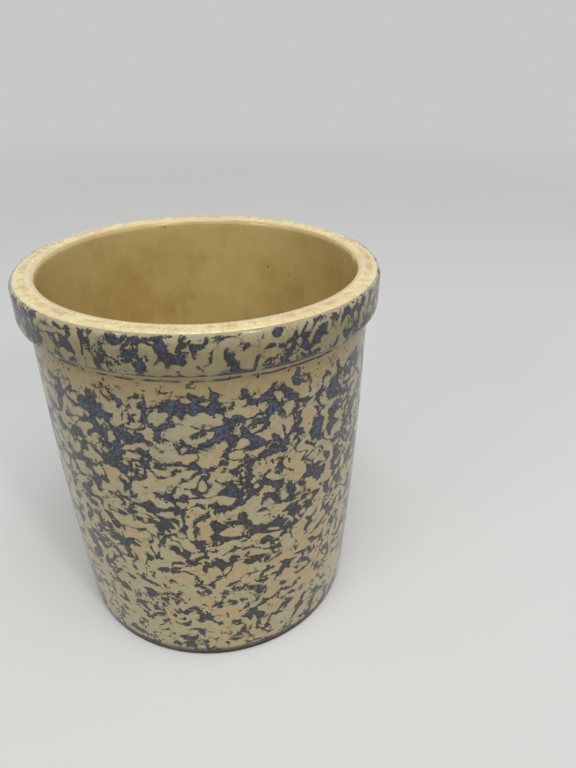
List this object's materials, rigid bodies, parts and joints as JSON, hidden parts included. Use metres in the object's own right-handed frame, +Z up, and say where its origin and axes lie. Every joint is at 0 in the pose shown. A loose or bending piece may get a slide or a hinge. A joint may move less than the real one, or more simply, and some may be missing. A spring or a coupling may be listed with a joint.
{
  "type": "stoneware crock",
  "caption": "Small open stoneware crock with a gently tapering wall, a rolled collar under a flat bare rim, and sponged blue decoration under the outside glaze.",
  "frame": {"origin": "centre of the foot, on the surface that the crock stands on", "axes": "+Z up along the crock's axis, towards the mouth; X and Y are interchangeable"},
  "size_m": [0.126, 0.126, 0.141],
  "materials": {
    "bare_stoneware": "bare fired buff clay, dry and matte, wiped smooth on the rim",
    "sponged_glaze": "glossy cream to straw glaze with blue sponged blotches",
    "liner_glaze": "glossy plain ochre liner glaze with fine iron specks"
  },
  "bodies": {
    "root": {"clay_body": "bare_stoneware", "outer_glaze": "sponged_glaze", "liner_glaze": "liner_glaze"}
  },
  "joints": []
}
